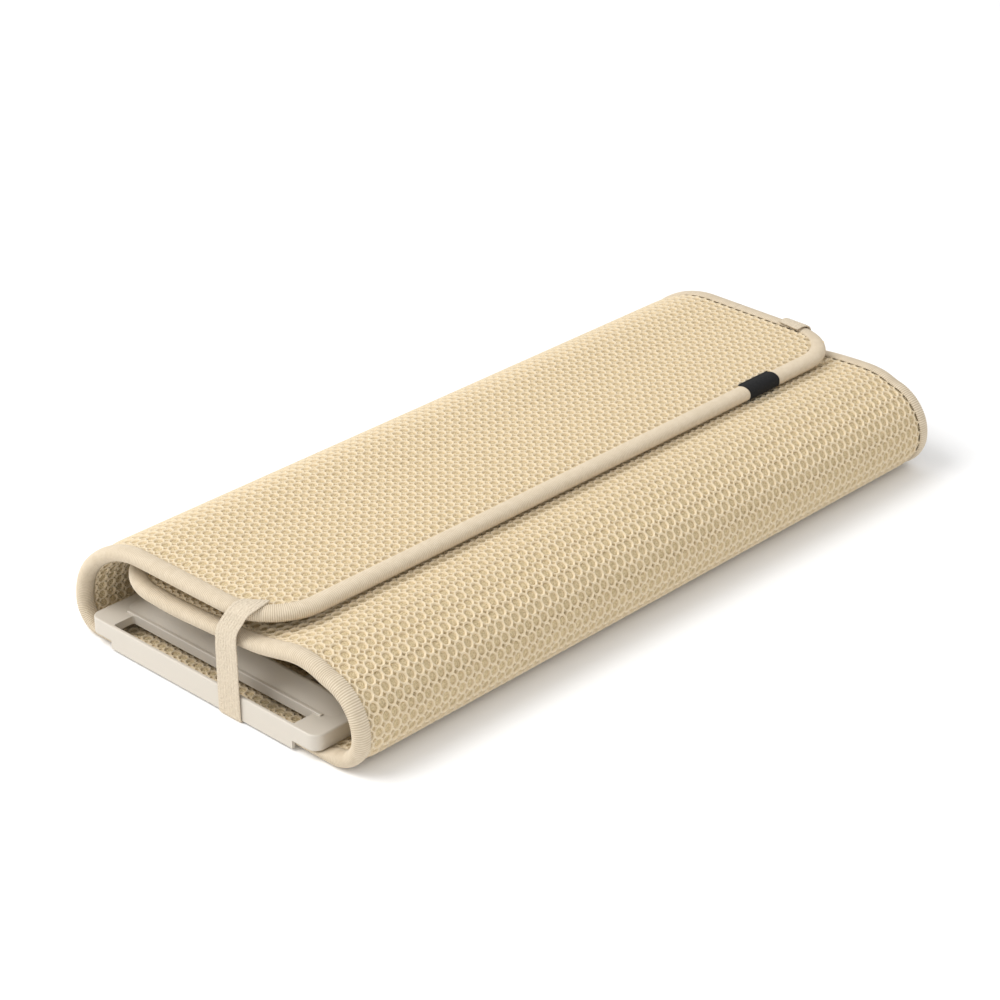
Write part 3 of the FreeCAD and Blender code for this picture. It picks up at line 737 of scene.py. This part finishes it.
def label():
    """The blank dark label, folded over the binding of the upper flap's free edge."""
    low, high = LABEL_X
    x = np.linspace(low, high, LABEL_COLUMNS)
    same = np.ones(x.shape)
    path = (REAR.length * same, x, -same, 0 * same, x)
    outline = section()
    inwards, n = LABEL_MARGIN
    outline[0] = (inwards, n)
    outline[-1] = (inwards, -n)
    points, faces, _ = tape_strip(path, lift=LABEL_LIFT, ribbed=False, outline=outline)
    piece = new_mesh("label_sleeve", points, faces[:, ::-1].tolist(), LABEL)
    thick = piece.modifiers.new("thickness", "SOLIDIFY")
    thick.thickness = LABEL_THICKNESS * MM
    thick.offset = -1
    soft = piece.modifiers.new("soft_edge", "BEVEL")
    soft.width = LABEL_ROUND * MM
    soft.segments = 2
    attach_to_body(piece, "upper_flap")
    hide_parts("label")


# ---------------------------------------------------------------- rack
def dress_rack():
    """The rack keeps its CAD shape, with softened edges and its plastic."""
    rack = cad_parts["rack"]
    rack.data.materials.clear()
    rack.data.materials.append(RACK)
    edges = rack.modifiers.new("soft_edges", "BEVEL")
    edges.width = RACK_ROUND * MM
    edges.segments = 2
    edges.limit_method = "ANGLE"
    edges.angle_limit = math.radians(RACK_ROUND_ABOVE)
    edges.harden_normals = True


# ---------------------------------------------------------------- stage, light, camera
def stage():
    """A plain pale floor."""
    size = FLOOR_HALF_SIZE
    mesh = bpy.data.meshes.new("floor")
    corners = [(-size, -size, 0), (size, -size, 0), (size, size, 0), (-size, size, 0)]
    mesh.from_pydata(corners, [], [(0, 1, 2, 3)])
    floor = bpy.data.objects.new("floor", mesh)
    bpy.context.scene.collection.objects.link(floor)
    made, _, shader = material("floor", (0.97, 0.97, 0.97), 0.9)
    shader.inputs["Specular IOR Level"].default_value = 0.1
    mesh.materials.append(made)


def area_light(name, direction, distance, size, power):
    """A square soft light that looks at the object from a direction."""
    data = bpy.data.lights.new(name, "AREA")
    data.shape = "SQUARE"
    data.size = size
    data.energy = power
    light = bpy.data.objects.new(name, data)
    away = Vector(direction).normalized()
    light.location = away * distance
    light.rotation_euler = away.to_track_quat("Z", "Y").to_euler()
    bpy.context.scene.collection.objects.link(light)


def lights():
    """Soft studio light from above and the left, with a pale surround."""
    area_light("key", direction=(-0.75, 0.55, 1.15), distance=2.4, size=1.5, power=38)
    area_light("fill", direction=(-0.2, -1.0, 0.9), distance=3.0, size=2.5, power=9)
    world = bpy.data.worlds.new("surround")
    world.use_nodes = True
    world.node_tree.nodes["Background"].inputs["Color"].default_value = (1, 1, 1, 1)
    world.node_tree.nodes["Background"].inputs["Strength"].default_value = 0.78
    bpy.context.scene.world = world
    bpy.context.scene.view_settings.view_transform = "Standard"


def camera():
    """The camera."""
    data = bpy.data.cameras.new("camera")
    data.lens = CAMERA_LENS
    made = bpy.data.objects.new("camera", data)
    az, el = math.radians(CAMERA_AZIMUTH), math.radians(CAMERA_ELEVATION)
    back = Vector((math.sin(az) * math.cos(el), -math.cos(az) * math.cos(el), math.sin(el)))
    made.location = Vector(CAMERA_AT) * MM
    made.rotation_euler = back.to_track_quat("Z", "Y").to_euler()
    bpy.context.scene.collection.objects.link(made)
    bpy.context.scene.camera = made


camera()
lights()
stage()
build_mat()
strap("left", -1, LEFT_STRAP + hanging(LEFT_STRAP_Y))
strap("right", 1, RIGHT_STRAP + hanging(RIGHT_STRAP_Y))
label()
dress_rack()
